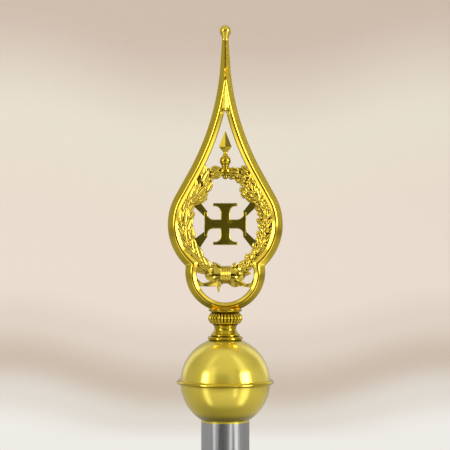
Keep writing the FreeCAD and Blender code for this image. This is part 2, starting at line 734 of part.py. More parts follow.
def emblem_webs():
    """Four diagonal plates from the slab ends of the cross to the wreath."""
    body = new_body("emblem_webs", FRAME_HEIGHT + " + dims.emblem_rise")
    near = "dims.emblem_half_size"
    root = "dims.emblem_half_size - dims.web_root_depth"
    top = "dims.emblem_slab_half_length"
    low = "dims.emblem_slab_half_length - dims.web_root_width"
    for across_side in ("", "-"):
        for up_side in ("", "-"):
            corners = [(root, low), (near, low),
                       ("dims.web_reach_across", "dims.web_reach_up - dims.web_width"),
                       ("dims.web_reach_across - dims.web_width", "dims.web_reach_up"), (root, top)]
            signed = [("%s(%s)" % (across_side, across), "%s(%s)" % (up_side, up)) for across, up in corners]
            pad(body, outline(body, "web", signed), "dims.web_depth")


# Ribbon

def ribbon_bow():
    """Two ribbons from the knot to the frame's lobe, each with a hanging tail."""
    body = new_body("ribbon_bow", FRAME_HEIGHT)
    for label, points, side in (("right", RIGHT_RIBBON, 1), ("left", LEFT_RIBBON, -1)):
        corners = [(str(across), "%s - dims.knot_bottom" % up) for across, up in points]
        arcs = {1: ("dims.ribbon_drape", side), 2: ("dims.ribbon_sag", side)}
        pad(body, outline(body, label, corners, arcs), "dims.ribbon_depth")


def ribbon_knot():
    """Binding around the crossed stems, ribbed by its turns."""
    body = new_body("ribbon_knot", FRAME_HEIGHT)
    sketch = outline(body, "block", [("-dims.knot_half_width", "-dims.knot_depth / 2"),
                                     ("dims.knot_half_width", "-dims.knot_depth / 2"),
                                     ("dims.knot_half_width", "dims.knot_depth / 2"),
                                     ("-dims.knot_half_width", "dims.knot_depth / 2")],
                     {0: ("dims.knot_round", 1), 2: ("dims.knot_round", 1)}, role="XY_Plane")
    sketch.setExpression("AttachmentOffset.Base.z", "-(dims.knot_top + dims.knot_bottom) / 2")
    pad(body, sketch, "dims.knot_bottom - dims.knot_top")


doc = FreeCAD.newDocument("flag_pole_head")
sheet = make_sheet()
gauge = doc.addObject("Part::Vertex", "gauge")
pieces = []
curve_numbers()

pole_sleeve()
clamp_bosses()
clamp_screw("clamp_screw_right", 1)
clamp_screw("clamp_screw_left", -1)
pole_plug()
plug_pins()
shell("ball_upper_shell", 1, ROD_HOLE)
shell("ball_lower_shell", -1, "dims.seat_hub_radius")
equator_ring()
crown_washer()
spacer_tube()
seat_ring()
tie_rod()
spring_washer()
clamp_nut()
base_bead()
neck_spool()
fluted_collar()
spear_frame()
apex_knob()
spear_tip()
branch("laurel", -1)
branch("oak", 1)
emblem_cross()
emblem_webs()
ribbon_bow()
ribbon_knot()

doc.recompute()
doc.removeObject(gauge.Name)
for item in doc.Objects:
    check_state(item)
os.makedirs("parts", exist_ok=True)
for piece in pieces:
    if piece.Shape.isNull() or not piece.Shape.isValid():
        raise RuntimeError("%s has no valid shape" % piece.Label)
    piece.Shape.exportStep("parts/%s.step" % piece.Label)
    print("%-18s %2d solid %10.1f mm3" % (piece.Label, len(piece.Shape.Solids), piece.Shape.Volume))
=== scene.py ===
import json
import math
import random

import bmesh
import bpy
import numpy as np
from mathutils import Matrix, Vector


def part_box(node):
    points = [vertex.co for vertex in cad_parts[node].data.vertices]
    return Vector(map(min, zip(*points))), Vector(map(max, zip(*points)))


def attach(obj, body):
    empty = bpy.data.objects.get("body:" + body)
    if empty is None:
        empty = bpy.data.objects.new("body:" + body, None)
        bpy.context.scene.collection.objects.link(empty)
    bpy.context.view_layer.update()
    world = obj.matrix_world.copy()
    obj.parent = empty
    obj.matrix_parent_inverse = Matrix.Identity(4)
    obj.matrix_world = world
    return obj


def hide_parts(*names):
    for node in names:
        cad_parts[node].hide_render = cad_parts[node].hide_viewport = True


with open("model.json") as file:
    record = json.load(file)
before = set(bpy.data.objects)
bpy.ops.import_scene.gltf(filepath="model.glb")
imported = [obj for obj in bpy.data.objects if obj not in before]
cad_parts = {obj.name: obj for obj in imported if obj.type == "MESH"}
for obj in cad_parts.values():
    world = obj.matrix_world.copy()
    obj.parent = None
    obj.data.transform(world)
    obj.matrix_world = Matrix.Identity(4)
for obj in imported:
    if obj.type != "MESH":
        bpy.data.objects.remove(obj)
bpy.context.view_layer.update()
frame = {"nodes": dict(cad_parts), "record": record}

MM = 0.001
TOUCHING = 1e-6  # closer than this, in mm, counts as on the axis or in the same plane


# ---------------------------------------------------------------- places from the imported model, in mm

def box_mm(node):
    low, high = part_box(node)
    return low / MM, high / MM


def middle_z(node):
    low, high = box_mm(node)
    return (low.z + high.z) / 2


BALL_Z = middle_z("equator_ring")
BALL_RADIUS = box_mm("ball_upper_shell")[1].x
BEAD_RADIUS = box_mm("equator_ring")[1].x
STEM_TOP = box_mm("spear_frame")[1].z
COLLAR_TOP = box_mm("fluted_collar")[1].z
ROD_RADIUS = box_mm("tie_rod")[1].x
EMBLEM_Z = middle_z("emblem_cross")
EMBLEM_HALF = box_mm("emblem_cross")[1].x
ROD_HOLE = ROD_RADIUS + 0.05


# ---------------------------------------------------------------- mesh helpers

def add_piece(name, bm, body, material, replaces=(), sharp_angle=38.0, merge=0.004):
    """Turns a bmesh drawn in mm into a piece that rides on a body."""
    bmesh.ops.remove_doubles(bm, verts=bm.verts, dist=merge)
    bmesh.ops.dissolve_degenerate(bm, dist=merge / 4, edges=bm.edges)
    loose = [vertex for vertex in bm.verts if not vertex.link_faces]
    bmesh.ops.delete(bm, geom=loose, context="VERTS")
    bmesh.ops.recalc_face_normals(bm, faces=bm.faces)
    for face in bm.faces:
        face.smooth = True
    for edge in bm.edges:
        if len(edge.link_faces) == 2 and edge.calc_face_angle() > math.radians(sharp_angle):
            edge.smooth = False
    bmesh.ops.scale(bm, vec=(MM, MM, MM), verts=bm.verts)
    mesh = bpy.data.meshes.new(name)
    bm.to_mesh(mesh)
    bm.free()
    piece = bpy.data.objects.new(name, mesh)
    bpy.context.scene.collection.objects.link(piece)
    piece.data.materials.append(material)
    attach(piece, body)
    if replaces:
        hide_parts(*replaces)
    return piece


def add_grid(bm, points, wrap_rows=False, wrap_columns=False):
    """Adds a sheet of quads through points[row][column]; points is an array of shape (rows, columns, 3)."""
    rows, columns = points.shape[0], points.shape[1]
    vertices = [[bm.verts.new(points[row, column]) for column in range(columns)] for row in range(rows)]
    for row in range(rows if wrap_rows else rows - 1):
        for column in range(columns if wrap_columns else columns - 1):
            below, beside = (row + 1) % rows, (column + 1) % columns
            bm.faces.new((vertices[row][column], vertices[row][beside],
                          vertices[below][beside], vertices[below][column]))
    return vertices


def soften(points, radius=0.3, steps=3, closed=False):
    """Rounds the corners of a polyline with short curves."""
    points = [np.array(point, float) for point in points]
    result = []
    count = len(points)
    for number, corner in enumerate(points):
        if not closed and number in (0, count - 1):
            result.append(corner)
            continue
        before, after = points[number - 1] - corner, points[(number + 1) % count] - corner
        reach = min(radius, np.linalg.norm(before) * 0.45, np.linalg.norm(after) * 0.45)
        first = corner + before / np.linalg.norm(before) * reach
        last = corner + after / np.linalg.norm(after) * reach
        for step in range(steps + 1):
            t = step / steps
            result.append(first * (1 - t) ** 2 + corner * 2 * t * (1 - t) + last * t ** 2)
    return result


def arc(centre_r, centre_z, radius, start, end, steps=24):
    """Points of an arc, angles in degrees from the +r direction."""
    angles = np.radians(np.linspace(start, end, steps + 1))
    return [(centre_r + radius * math.cos(a), centre_z + radius * math.sin(a)) for a in angles]


def turned(profile, segments=144, ripple=None, closed=True):
    """Turns a profile of (r, z) about the axis; ripple(angle, z) scales the radius."""
    bm = bmesh.new()
    profile = np.array(profile, float)
    angles = np.linspace(0, 2 * math.pi, segments, endpoint=False)
    radius = profile[:, 0][None, :] * np.ones((segments, 1))
    height = profile[:, 1][None, :] * np.ones((segments, 1))
    if ripple:
        radius = radius * ripple(angles[:, None], height)
    points = np.stack([radius * np.cos(angles)[:, None], radius * np.sin(angles)[:, None], height], axis=2)
    open_ends = profile[0, 0] > TOUCHING or profile[-1, 0] > TOUCHING
    add_grid(bm, points, wrap_rows=True, wrap_columns=closed and open_ends)
    return bm


def closed_tube(bm, loop, radius, sides, across):
    """Adds a tube of one radius along a closed loop; across is square to the loop's plane or nearly so."""
    angles = np.linspace(0, 2 * math.pi, sides, endpoint=False)
    loop = np.array(loop, float)
    rings = []
    for number, point in enumerate(loop):
        ahead, behind = loop[(number + 1) % len(loop)], loop[number - 1]
        forward = (ahead - behind) / np.linalg.norm(ahead - behind)
        side = np.cross(forward, across)
        side /= np.linalg.norm(side)
        up = np.cross(side, forward)
        rings.append([point + radius * (side * math.cos(a) + up * math.sin(a)) for a in angles])
    add_grid(bm, np.array(rings), wrap_rows=True, wrap_columns=True)


def plate(outline, depth, bevel=0.5, segments=3):
    """A flat plate with rounded edges; outline is (x, z) in mm and the plate is centred on y = 0."""
    bm = bmesh.new()
    face = bm.faces.new([bm.verts.new((x, -depth / 2, z)) for x, z in outline])
    grown = bmesh.ops.extrude_face_region(bm, geom=[face])
    moved = [item for item in grown["geom"] if isinstance(item, bmesh.types.BMVert)]
    bmesh.ops.translate(bm, vec=(0, depth, 0), verts=moved)
    bmesh.ops.recalc_face_normals(bm, faces=bm.faces)
    rims = [edge for edge in bm.edges if abs(edge.verts[0].co.y - edge.verts[1].co.y) < TOUCHING]
    bmesh.ops.bevel(bm, geom=rims, offset=bevel, segments=segments, profile=0.6, affect="EDGES")
    return bm


# ---------------------------------------------------------------- materials

class Graph:
    """A short way to build a material's or world's nodes."""

    def __init__(self, tree):
        self.tree = tree
        tree.nodes.clear()

    def node(self, kind, inputs=None, **settings):
        made = self.tree.nodes.new(kind)
        for key, setting in settings.items():
            setattr(made, key, setting)
        for key, source in (inputs or {}).items():
            if isinstance(source, bpy.types.NodeSocket):
                self.tree.links.new(source, made.inputs[key])
            else:
                made.inputs[key].default_value = source
        return made

    def math(self, operation, first, second=0.0):
        return self.node("ShaderNodeMath", {0: first, 1: second}, operation=operation).outputs[0]

    def ramp(self, factor, stops, interpolation="LINEAR"):
        made = self.node("ShaderNodeValToRGB", {"Fac": factor})
        made.color_ramp.interpolation = interpolation
        elements = made.color_ramp.elements
        while len(elements) < len(stops):
            elements.new(0.5)
        for element, (position, colour) in zip(elements, stops):
            element.position = position
            element.color = tuple(colour) + (1,) * (4 - len(colour))
        return made.outputs["Color"]

    def multiply(self, colour, share):
        return self.node("ShaderNodeMix", {0: 1.0, 6: colour, 7: share}, data_type="RGBA",
                         blend_type="MULTIPLY").outputs[2]

    def span(self, value, low, high, to_low=0.0, to_high=1.0, smooth=True):
        kind = "SMOOTHSTEP" if smooth else "LINEAR"
        return self.node("ShaderNodeMapRange", {"Value": value, "From Min": low, "From Max": high,
                                                "To Min": to_low, "To Max": to_high},
                         interpolation_type=kind, clamp=True).outputs["Result"]

    def noise(self, scale, detail=3.0, vector=None, roughness=0.5):
        inputs = {"Scale": scale, "Detail": detail, "Roughness": roughness}
        if vector is not None:
            inputs["Vector"] = vector
        return self.node("ShaderNodeTexNoise", inputs).outputs["Fac"]


def new_material(name):
    material = bpy.data.materials.new(name)
    material.use_nodes = True
    return material, Graph(material.node_tree)


def metal(name, light, dark, roughness, rough_spread, grain_scale, bump, coat=0.0, crevice_shade=0.0, wave=0.0,
          stretch=(1, 1, 1), metallic=1.0, underside_shade=0.0):
    """A worn, polished metal: its tint, gloss and surface all vary a little from place to place.

    The crevice share paints shade into narrow gaps and the underside share paints shade on what faces down;
    wave gives the polish a slow swell, stretch draws the grain out along an axis and coat adds a clear
    lacquer."""
    material, graph = new_material(name)
    place = graph.node("ShaderNodeTexCoord").outputs["Object"]
    placed = graph.node("ShaderNodeMapping", {"Vector": place, "Scale": stretch}).outputs["Vector"]
    broad = graph.noise(45.0, 4.0, placed)
    fine = graph.noise(grain_scale, 5.0, placed, 0.6)
    colour = graph.ramp(broad, [(0.3, dark), (0.7, light)])
    # Painted shade: ambient occlusion darkens the colour in narrow gaps.
    if crevice_shade:
        hidden = graph.node("ShaderNodeAmbientOcclusion", {"Distance": 0.003}, samples=6).outputs["AO"]
        colour = graph.multiply(colour, graph.span(hidden, 0.30, 0.86, 1 - crevice_shade, 1.0))
    # Painted shade: the colour darkens where the surface faces down.
    if underside_shade:
        facing = graph.node("ShaderNodeNewGeometry").outputs["Normal"]
        upward = graph.node("ShaderNodeSeparateXYZ", {"Vector": facing}).outputs["Z"]
        colour = graph.multiply(colour, graph.span(upward, -0.80, -0.62, 1 - underside_shade, 1.0))
    gloss = graph.span(fine, 0.3, 0.7, roughness - rough_spread, roughness + rough_spread)
    swell = graph.node("ShaderNodeBump", {"Height": graph.noise(70.0, 1.0, placed), "Distance": 0.0035,
                                          "Strength": wave})
    relief = graph.node("ShaderNodeBump", {"Height": fine, "Distance": 0.0001, "Strength": bump,
                                           "Normal": swell.outputs["Normal"]})
    surface = graph.node("ShaderNodeBsdfPrincipled", {
        "Base Color": colour, "Metallic": metallic, "Roughness": gloss, "Normal": relief.outputs["Normal"],
        "Coat Weight": coat, "Coat Roughness": 0.08, "Coat IOR": 1.7})
    graph.node("ShaderNodeOutputMaterial", {"Surface": surface.outputs["BSDF"]})
    return material


# The crevice shares paint shade into the gaps of the castings and the neck.
GILT = metal("gilt_casting", light=(0.90, 0.672, 0.065), dark=(0.85, 0.605, 0.05), roughness=0.13,
             rough_spread=0.04, grain_scale=900.0, bump=0.10, coat=0.3, crevice_shade=0.9)
# Darker copy of the gilt for the neck and tip bead: painted shade stands in for the dimmer light they catch.
GILT_NECK_SHADED = metal("gilt_neck", light=(0.64, 0.47, 0.03), dark=(0.58, 0.40, 0.025), roughness=0.09,
                  rough_spread=0.03, grain_scale=700.0, bump=0.04, crevice_shade=0.85)
GILT_FRAME = metal("gilt_frame", light=(0.86, 0.645, 0.06), dark=(0.81, 0.59, 0.045), roughness=0.10,
                   rough_spread=0.02, grain_scale=500.0, bump=0.03, coat=0.12)
# Darker copy of the gilt for the emblem and its webs: painted shade stands in for the dark reflection on
# their flat faces.
GILT_EMBLEM_SHADED = metal("gilt_emblem", light=(0.46, 0.37, 0.03), dark=(0.40, 0.31, 0.02), roughness=0.07,
                    rough_spread=0.02, grain_scale=400.0, bump=0.04, wave=0.5)
# The ball's downward faces get painted shade.
GILT_BALL = metal("gilt_ball", light=(0.96, 0.775, 0.08), dark=(0.92, 0.715, 0.065), roughness=0.20,
                  rough_spread=0.03, grain_scale=600.0, bump=0.0, coat=0.5, metallic=0.66, underside_shade=0.6)
SILVER = metal("silver_sleeve", light=(0.66, 0.66, 0.67), dark=(0.61, 0.61, 0.62), roughness=0.16,
               rough_spread=0.05, grain_scale=700.0, bump=0.06, stretch=(1, 1, 0.03))
STEEL = metal("zinc_steel", light=(0.60, 0.61, 0.64), dark=(0.50, 0.51, 0.52), roughness=0.30,
              rough_spread=0.08, grain_scale=500.0, bump=0.2)


# ---------------------------------------------------------------- spear frame

SHOULDER_RADIUS, SHOULDER_RISE = 41.7, 30.0
LOBE_RADIUS, LOBE_DROP, LOBE_SINK = 29.0, 4.5, 0.19
FLANK, STEM_LEAN = math.radians(29.0), math.radians(3.7)
STEM_START, STEM_START_HALF, STEM_HALF, STEM_HEIGHT = 146.0, 3.6, 2.5, 163.0
WAIST_Z = STEM_TOP - STEM_HEIGHT
FRAME_BOTTOM = 31.7
BAND = 8.3
GROOVE_INSET, GROOVE_HALF_WIDTH, GROOVE_DEPTH = 4.95, 0.45, 0.8
WEB_BOTTOM, WEB_CREST, WEB_SLOPE = 111.7, 4.5, 0.40

# half depth of the frame against the distance in from its edge: outer band, groove, inner band
SECTION = ((0.0, 0.7), (0.12, 1.1), (0.35, 1.5), (4.3, 4.3), (4.6, 4.4), (4.8, 4.1), (4.95, 3.6),
           (5.1, 4.1), (5.3, 4.4), (5.6, 4.4), (7.95, 3.05), (8.18, 2.7), (8.3, 2.1))


def hollow_curve():
    """Start, centre and radius of the hollow curve between the flank and the stem."""
    across, up = SHOULDER_RADIUS * math.cos(FLANK), SHOULDER_RISE + SHOULDER_RADIUS * math.sin(FLANK)
    slope, mean = math.tan(FLANK), math.tan((FLANK + STEM_LEAN) / 2)
    start_z = (across + slope * up - STEM_START_HALF - mean * STEM_START) / (slope - mean)
    start = np.array([across - slope * (start_z - up), start_z])
    end = np.array([STEM_START_HALF, STEM_START])
    radius = np.linalg.norm(end - start) / 2 / math.sin((FLANK - STEM_LEAN) / 2)
    centre = start + np.array([math.cos(FLANK), math.sin(FLANK)]) * radius
    return start, centre, radius


HOLLOW_START, HOLLOW_CENTRE, HOLLOW_RADIUS = hollow_curve()


def lobe_drop(inset):
    """Drop of the lobe's centre below the waist; it sinks as the outline moves in from the edge."""
    return LOBE_DROP + LOBE_SINK * inset


def waist_angles(inset):
    """Angles at which the circles of lobe and shoulder cross, for an outline this far inside the edge."""
    lobe, shoulder, drop = LOBE_RADIUS - inset, SHOULDER_RADIUS - inset, lobe_drop(inset)
    up = (lobe ** 2 - shoulder ** 2 + SHOULDER_RISE ** 2 - drop ** 2) / (2 * (SHOULDER_RISE + drop))
    across = math.sqrt(shoulder ** 2 - (SHOULDER_RISE - up) ** 2)
    return math.atan2(up + drop, across), math.atan2(up - SHOULDER_RISE, across)


def spear_stations():
    """Every station along the outline as (stretch, share of it)."""
    stations = []
    for stretch, count in (("lobe", 30), ("shoulder", 40), ("flank", 8), ("hollow", 46), ("stem", 12)):
        first = 0 if stretch in ("lobe", "shoulder") else 1
        stations += [(stretch, step / count) for step in range(first, count + 1)]
    return stations


def spear_point(stretch, share, inset):
    """(x, z above the waist) on the outline this far inside its edge, kept on its own side of the axis."""
    if stretch == "lobe":
        angle = -math.pi / 2 + (waist_angles(inset)[0] + math.pi / 2) * share
        radius = LOBE_RADIUS - inset
        x, z = radius * math.cos(angle), radius * math.sin(angle) - lobe_drop(inset)
        z = max(z, -FRAME_BOTTOM)
    elif stretch == "shoulder":
        start = waist_angles(inset)[1]
        angle = start + (FLANK - start) * share
        radius = SHOULDER_RADIUS - inset
        x, z = radius * math.cos(angle), SHOULDER_RISE + radius * math.sin(angle)
    elif stretch == "flank":
        radius = SHOULDER_RADIUS - inset
        inward = -inset * np.array([math.cos(FLANK), math.sin(FLANK)])
        begin = np.array([radius * math.cos(FLANK), SHOULDER_RISE + radius * math.sin(FLANK)])
        x, z = begin * (1 - share) + (HOLLOW_START + inward) * share
    elif stretch == "hollow":
        angle = FLANK + (STEM_LEAN - FLANK) * share
        reach = min(HOLLOW_RADIUS + inset, HOLLOW_CENTRE[0] / math.cos(angle))
        x = HOLLOW_CENTRE[0] - reach * math.cos(angle)
        z = HOLLOW_CENTRE[1] - reach * math.sin(angle)
    else:
        outer = STEM_START_HALF + (STEM_HALF - STEM_START_HALF) * share
        lean_drop = min(inset, outer) * math.sin(STEM_LEAN) * (1 - share)
        x, z = max(outer - inset, 0.0), STEM_START + (STEM_HEIGHT - STEM_START) * share - lean_drop
    return max(x, 0.0), z


def frame_half_depth(inset):
    """Half the frame's thickness at this distance in from its edge."""
    depths = np.array(SECTION)
    return float(np.interp(inset, depths[:, 0], depths[:, 1]))


def axis_inset(stretch, share):
    """Inset at which the outline reaches the axis, or twice the band where the two sides are still apart."""
    if stretch not in ("hollow", "stem"):
        return 2 * BAND
    lean = FLANK + (STEM_LEAN - FLANK) * share if stretch == "hollow" else STEM_LEAN
    limit = spear_point(stretch, share, 0.0)[0] / math.cos(lean)
    axis_z = spear_point(stretch, share, limit)[1]
    return limit if limit < BAND or axis_z > WEB_BOTTOM else 2 * BAND


def frame_section(inset, limit):
    """Inset and half depth of one point: band, then the web under the apex, then the stem with its groove."""
    if limit >= 2 * BAND:
        return inset, frame_half_depth(inset)
    if limit < GROOVE_INSET:
        ridge = limit - GROOVE_HALF_WIDTH
        if inset < limit:
            return min(inset, ridge), frame_half_depth(min(inset, ridge))
        return limit, frame_half_depth(ridge) - GROOVE_DEPTH
    placed = limit if inset >= min(limit, BAND) else inset
    if placed <= GROOVE_INSET:
        return placed, frame_half_depth(placed)
    return placed, WEB_CREST - WEB_SLOPE * (limit - placed)


def spear_frame():
    """The frame, a grid of stations along the outline by insets across the band, mirrored about the axis."""
    corners = [inset for inset, _ in SECTION]
    slopes = np.concatenate([np.arange(0.35, 4.3, 0.395), np.arange(5.6, 7.9, 0.39)])
    insets = sorted({round(float(inset), 3) for inset in [*corners, *slopes]})
    stations = spear_stations()
    front = np.zeros((len(stations), len(insets), 3))
    for row, (stretch, share) in enumerate(stations):
        limit = axis_inset(stretch, share)
        for column, inset in enumerate(insets):
            placed, depth = frame_section(inset, limit)
            x, z = spear_point(stretch, share, placed)
            front[row, column] = (0.0 if placed == limit else x, -depth, z + WAIST_Z)
    back = front[:, ::-1] * np.array([1, -1, 1])
    right = np.concatenate([front, back], axis=1)
    bm = bmesh.new()
    for mirror in (1, -1):
        add_grid(bm, right * np.array([mirror, 1, 1]), wrap_columns=True)
    inner = [face for face in bm.faces if all(abs(vertex.co.x) < TOUCHING for vertex in face.verts)]
    bmesh.ops.delete(bm, geom=inner, context="FACES")
    bmesh.ops.remove_doubles(bm, verts=bm.verts, dist=0.002)
    bmesh.ops.holes_fill(bm, edges=[edge for edge in bm.edges if edge.is_boundary])
    add_piece("gilt_spear_frame", bm, "head", GILT_FRAME, ("spear_frame",))


def frame_foot():
    """Round foot of the frame, spread over the collar."""
    low = COLLAR_TOP
    flare = [(0, low), (10.9, low), (11.1, low + 0.35), (10.2, low + 0.75), (3.4, low + 1.1),
             (2.8, low + 3.0), (0, low + 3.2)]
    foot = turned(soften(flare, 0.3, 5))
    add_piece("gilt_frame_foot", foot, "head", GILT_FRAME)


# ---------------------------------------------------------------- turned pieces

def lifted(bm, height):
    """The same bmesh, moved up."""
    bmesh.ops.translate(bm, vec=(0, 0, height), verts=bm.verts)
    return bm


def apex_knob():
    """Pear-shaped knob: a short neck under a ball."""
    low, high = box_mm("apex_knob")
    height = high.z - low.z
    widest = high.x
    profile = [(0, 0), (2.5, 0), (2.3, height * 0.1), (2.7, height * 0.25), (3.6, height * 0.43)]
    ball_z = height - widest
    profile += arc(0, ball_z, widest, -12, 90, 20)
    add_piece("gilt_apex_knob", lifted(turned(soften(profile, 0.8, 4)), low.z), "head", GILT,
              ("apex_knob",))


def ball():
    """Two spun shells and the bead over their joint."""
    wall = 1.0
    top = math.degrees(math.acos(ROD_HOLE / BALL_RADIUS))
    inner_top = math.degrees(math.acos(ROD_HOLE / (BALL_RADIUS - wall)))
    upper = arc(0, 0, BALL_RADIUS, 0, top, 64) + arc(0, 0, BALL_RADIUS - wall, inner_top, 0, 40)
    add_piece("gilt_ball_upper", lifted(turned(upper, 192), BALL_Z), "ball", GILT_BALL,
              ("ball_upper_shell",))
    hub = box_mm("spacer_tube")[1].x + 1.5
    bottom = -math.degrees(math.acos(hub / BALL_RADIUS))
    inner_bottom = -math.degrees(math.acos(hub / (BALL_RADIUS - wall)))
    lower = arc(0, 0, BALL_RADIUS, bottom, 0, 64) + arc(0, 0, BALL_RADIUS - wall, 0, inner_bottom, 40)
    add_piece("gilt_ball_lower", lifted(turned(lower, 192), BALL_Z), "ball", GILT_BALL,
              ("ball_lower_shell",))
    half = (box_mm("equator_ring")[1].z - box_mm("equator_ring")[0].z) / 2
    edge = math.sqrt(BALL_RADIUS ** 2 - half ** 2)
    bulge = BEAD_RADIUS - edge
    bead = [(edge - 0.2, -half), (edge + bulge * 0.35, -half * 0.98), (edge + bulge * 0.8, -half * 0.62),
            (edge + bulge, 0), (edge + bulge * 0.8, half * 0.62), (edge + bulge * 0.35, half * 0.98),
            (edge - 0.2, half)]
    add_piece("gilt_equator_bead", lifted(turned(soften(bead, 0.7, 4), 192), BALL_Z), "ball", GILT_FRAME,
              ("equator_ring",))


def neck():
    """Base bead, concave spool and ribbed collar."""
    top = box_mm("base_bead")[1].z - BALL_Z
    outer = box_mm("base_bead")[1].x
    edge = outer - 0.7
    rest = [(r, math.sqrt(BALL_RADIUS ** 2 - r ** 2)) for r in np.linspace(ROD_HOLE, edge, 12)]
    low = rest[-1][1]
    bead = rest + [(outer + 0.5, low + 0.5), (outer + 0.6, (low + top) / 2 + 0.1), (outer, top - 0.3),
                   (edge - 0.8, top), (ROD_HOLE, top)]
    add_piece("gilt_base_bead", lifted(turned(soften(bead, 0.5, 4, closed=True)), BALL_Z), "head", GILT_NECK_SHADED,
              ("base_bead",))
    low, high = box_mm("neck_spool")
    low_z, high_z = low.z - BALL_Z, high.z - BALL_Z
    spool = [(ROD_HOLE, low_z), (high.x, low_z), (high.x, low_z + 1.2), (high.x - 0.9, low_z + 1.9),
             (9.0, low_z + 2.9), (8.2, low_z + 4.0), (7.85, low_z + 5.2), (7.9, low_z + 6.2),
             (8.2, low_z + 7.0), (8.8, high_z), (ROD_HOLE, high_z)]
    add_piece("gilt_neck_spool", lifted(turned(soften(spool, 0.6, 4, closed=True)), BALL_Z), "head",
              GILT_NECK_SHADED, ("neck_spool",))
    collar()


def collar():
    """Collar whose belly is divided into rounded ribs."""
    low, high = box_mm("fluted_collar")
    low_z, high_z = low.z - BALL_Z, high.z - BALL_Z
    waist, belly, belly_height = 8.9, high.x, 8.3
    profile = [(ROD_HOLE, low_z), (8.8, low_z), (9.3, low_z + 0.35), (waist, low_z + 0.9)]
    for share in np.linspace(0.0, 1.0, 22):
        swell = math.sin(math.pi * (0.12 + 0.82 * share)) ** 0.8
        profile.append((waist + (belly - waist) * swell, low_z + 1.1 + belly_height * share))
    profile += [(10.9, high_z - 1.7), (11.6, high_z - 1.4), (12.1, high_z - 0.9), (12.1, high_z - 0.25),
                (11.8, high_z), (ROD_HOLE, high_z)]
    ribs, points_per_rib, rib_depth = 28, 14, 0.12

    def ripple(angle, height):
        fade_in = np.clip((height - low_z - 1.0) / 1.6, 0, 1)
        fade_out = np.clip((high_z - 1.9 - height) / 1.4, 0, 1)
        valley = 1 - np.abs(np.cos(angle * ribs / 2)) ** 0.6
        return 1 - rib_depth * valley * (fade_in * fade_out)

    add_piece("gilt_fluted_collar", lifted(turned(profile, ribs * points_per_rib, ripple), BALL_Z), "head",
              GILT_NECK_SHADED, ("fluted_collar",), sharp_angle=50)


def tie_rod():
    """Rod with its real thread, rolled along the length that shows when the head is unscrewed."""
    bottom = box_mm("tie_rod")[0].z
    top = COLLAR_TOP + 0.6
    pitch, depth = 1.5, 0.75
    thread_middle, thread_half = (bottom + top) / 2 - 30, 42
    heights = np.arange(bottom, top, pitch / 8)
    angles = np.linspace(0, 2 * math.pi, 40, endpoint=False)
    turn_share = (heights[:, None] / pitch - angles[None, :] / (2 * math.pi)) % 1.0
    groove = np.abs(turn_share - 0.5) * 2
    ends = np.minimum(heights - bottom, top - heights)[:, None]
    threaded = np.clip(thread_half - np.abs(heights - thread_middle)[:, None], 0, 1)
    radius = ROD_RADIUS - 0.02 - depth * np.clip(groove * 1.25 - 0.125, 0, 1) * threaded
    radius = np.minimum(radius, ROD_RADIUS - 1.0 + ends)
    points = np.stack([radius * np.cos(angles), radius * np.sin(angles), heights[:, None] + 0 * radius], 2)
    bm = bmesh.new()
    vertices = add_grid(bm, points, wrap_columns=True)
    bm.faces.new(vertices[0])
    bm.faces.new(vertices[-1][::-1])
    add_piece("steel_tie_rod", bm, "head", STEEL, ("tie_rod",), sharp_angle=60)


# ---------------------------------------------------------------- spear tip

def spear_tip():
    """Small faceted spear blade above a turned bead, whose stem runs down where the branches meet."""
    low, high = box_mm("spear_tip")
    base = low.z
    profile = [(0, -6.4), (1.2, -6.4), (1.9, -5.2), (1.8, -1.9), (4.6, -1.5), (4.5, 0.6), (3.3, 1.6),
               (2.3, 2.6), (2.9, 3.3)]
    profile += arc(0, 6.9, 4.05, -48, 50, 16)
    profile += [(1.9, 10.9), (1.35, 12.2), (1.3, 13.4), (1.6, 14.0), (0, 14.2)]
    add_piece("gilt_tip_bead", lifted(turned(soften(profile, 0.5, 3), 96), base), "head", GILT_NECK_SHADED,
              ("spear_tip",))
    half_width = high.x
    heel_z, belly_z, tip_z = base + 12.9, base + 17.3, high.z
    rows = [(1.0, 0.9, heel_z), (1.7, 1.1, heel_z + 0.5), (half_width * 0.82, 1.45, belly_z - 1.3),
            (half_width, 1.5, belly_z), (half_width * 0.88, 1.45, belly_z + 1.2), (0.3, 0.5, tip_z)]
    points = []
    for wide, deep, z in rows:
        rim = min(0.3, deep / 2)
        points.append([(wide, -rim, z), (0.0, -deep, z), (-wide, -rim, z), (-wide, rim, z), (0.0, deep, z),
                       (wide, rim, z)])
    bm = bmesh.new()
    vertices = add_grid(bm, np.array(points), wrap_columns=True)
    bm.faces.new(vertices[0])
    bm.faces.new(vertices[-1][::-1])
    add_piece("gilt_tip_blade", bm, "head", GILT_FRAME, sharp_angle=14)


# ---------------------------------------------------------------- wreath

WREATH_RISE = 31.6
OPENING_HALF_WIDTH, OPENING_HALF_HEIGHT = 24.3, 32.4
NARROWING, NARROWING_ANGLE, NARROWING_SPREAD = 0.24, 52, 15
WREATH_TOP, WREATH_BOTTOM = 39.8, 41.2
LOWER_HALF_WIDTH, LOWER_START = 33.2, -20
EDGE_OVERLAP = 0.9
FLAT_TOP_ANGLE = 66
BED_SECTION = ((0.06, 0.8), (0.16, 1.5), (0.4, 1.8), (0.7, 1.7))  # share of the way out, half depth
LONG_LEAF, TOP_SHRINK, TOP_SPLAY = 10.0, 0.4, 0.25


def frame_inner_edge():
    """Heights and half-widths of the frame's inner edge, from the waist up."""
    points = [spear_point(stretch, share, BAND - EDGE_OVERLAP) for stretch, share in spear_stations()
              if stretch in ("shoulder", "flank", "hollow")]
    heights = np.array([z for _, z in points])
    widths = np.array([x for x, _ in points])
    order = np.argsort(heights)
    return heights[order], widths[order]


EDGE_HEIGHTS, EDGE_WIDTHS = frame_inner_edge()


